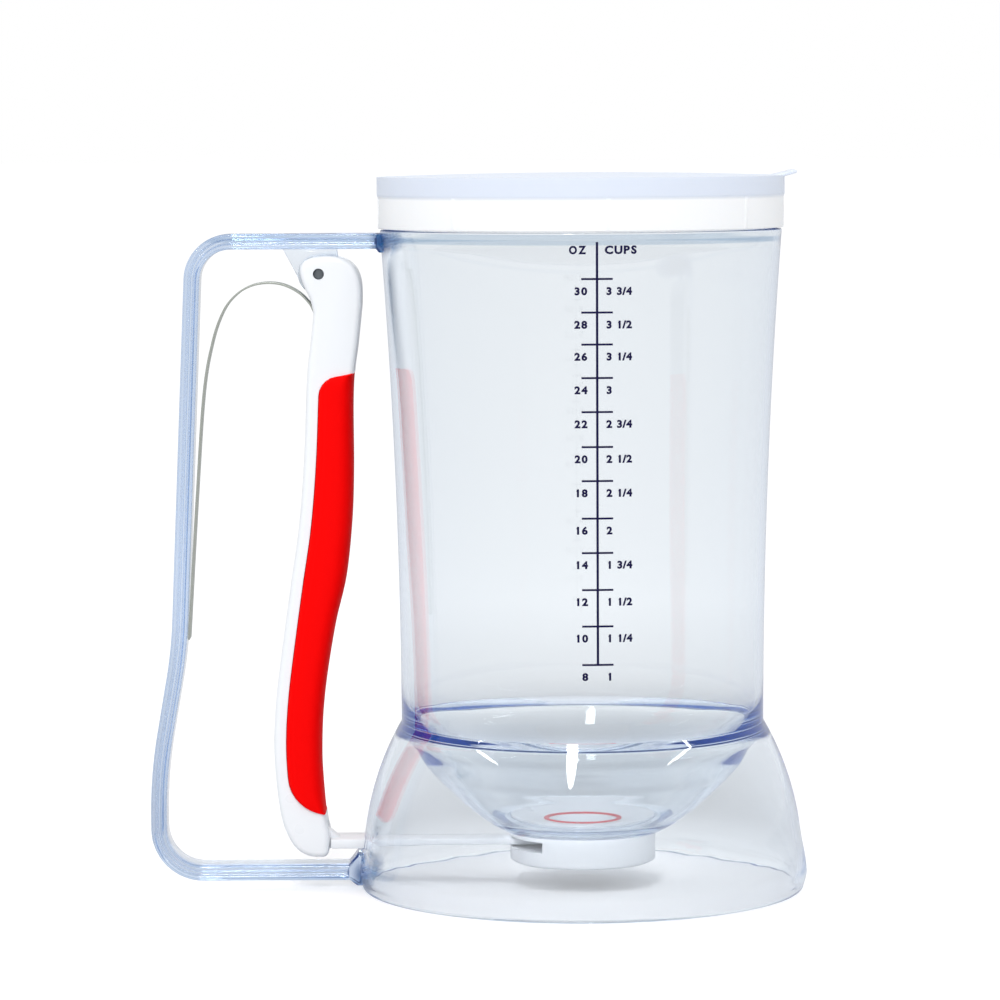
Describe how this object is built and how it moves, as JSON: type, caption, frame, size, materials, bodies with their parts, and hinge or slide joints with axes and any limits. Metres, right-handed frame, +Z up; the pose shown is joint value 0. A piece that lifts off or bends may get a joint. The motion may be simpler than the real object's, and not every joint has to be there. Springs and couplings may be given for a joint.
{
  "type": "pancake batter dispenser",
  "caption": "Hand-held clear batter dispenser with a push-fit lid, a funnel floor and a sliding outlet valve worked by a sprung trigger in its loop handle.",
  "frame": {"origin": "centre of the ring that the base stands on, on the vessel's axis at table level", "axes": "+Z up along the vessel's axis, -X towards the handle, Y across the handle"},
  "size_m": [0.1696, 0.116, 0.1852],
  "materials": {
    "clear_plastic": "clear glossy moulding",
    "white_plastic": "satin moulding",
    "red_grip": "smooth soft-touch rubber",
    "red_silicone": "smooth silicone",
    "spring_steel": "bright rolled strip",
    "pin_steel": "turned"
  },
  "bodies": {
    "vessel": {"container": "clear_plastic", "funnel_bowl": "clear_plastic", "base_skirt": "clear_plastic", "handle_frame": "clear_plastic", "valve_housing": "white_plastic", "valve_cover": "white_plastic", "outlet_seal": "red_silicone", "valve_o_ring": "red_silicone"},
    "lid": {"lid": "white_plastic"},
    "trigger": {"trigger_lever": "white_plastic", "trigger_grip": "red_grip", "pivot_pin": "pin_steel", "link_pin": "pin_steel", "leaf_spring": "spring_steel"},
    "shutter": {"shutter": "white_plastic"}
  },
  "joints": [
    {"name": "trigger_pivot", "type": "hinge", "parent": "vessel", "child": "trigger", "pos_m": [-0.0671, 0, 0.1591], "axis": [0, 1, 0], "range_deg": [0, 6.48], "stiffness_Nm_per_rad": 1.2, "springref_deg": -8.59, "deforming": ["leaf_spring"]},
    {"name": "shutter_slide", "type": "slide", "parent": "vessel", "child": "shutter", "axis": [-1, 0, 0], "range_m": [0, 0.0167]},
    {"name": "lid_lift", "type": "slide", "parent": "vessel", "child": "lid", "axis": [0, 0, 1], "range_m": [0, 0.03]}
  ],
  "couplings": [
    {"joint": "shutter_slide", "follows": "trigger_pivot", "m_per_rad": 0.1468}
  ]
}
